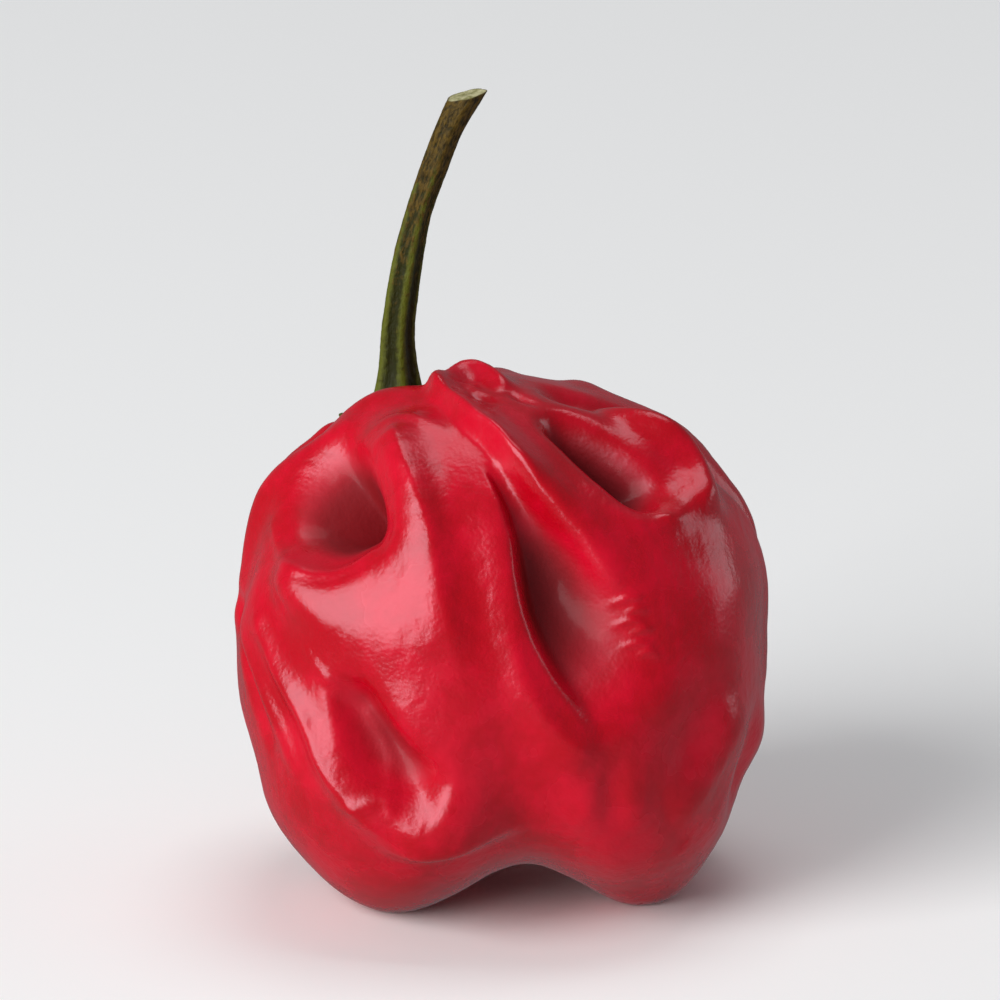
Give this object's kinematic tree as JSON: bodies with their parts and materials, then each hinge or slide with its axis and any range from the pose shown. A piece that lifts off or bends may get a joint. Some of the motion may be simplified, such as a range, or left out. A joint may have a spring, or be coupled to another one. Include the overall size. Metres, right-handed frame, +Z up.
{
  "type": "habanero pepper",
  "caption": "Fresh red habanero pepper, squat and deeply folded, standing on its lobes with its calyx and curved stem.",
  "frame": {"origin": "middle of the whole fruit's box, on the surface that it stands on", "axes": "+Z up towards the stem's cut end, -Y towards the side that the picture shows, +X to that side's right"},
  "size_m": [0.0399, 0.0403, 0.0604],
  "materials": {
    "pod_skin": "waxy crimson skin with soft broad highlights",
    "green_stem": "dull dark green stem with brown streaks and a pale cut end"
  },
  "bodies": {
    "root": {"pod": "pod_skin", "calyx_stem": "green_stem"}
  },
  "joints": []
}
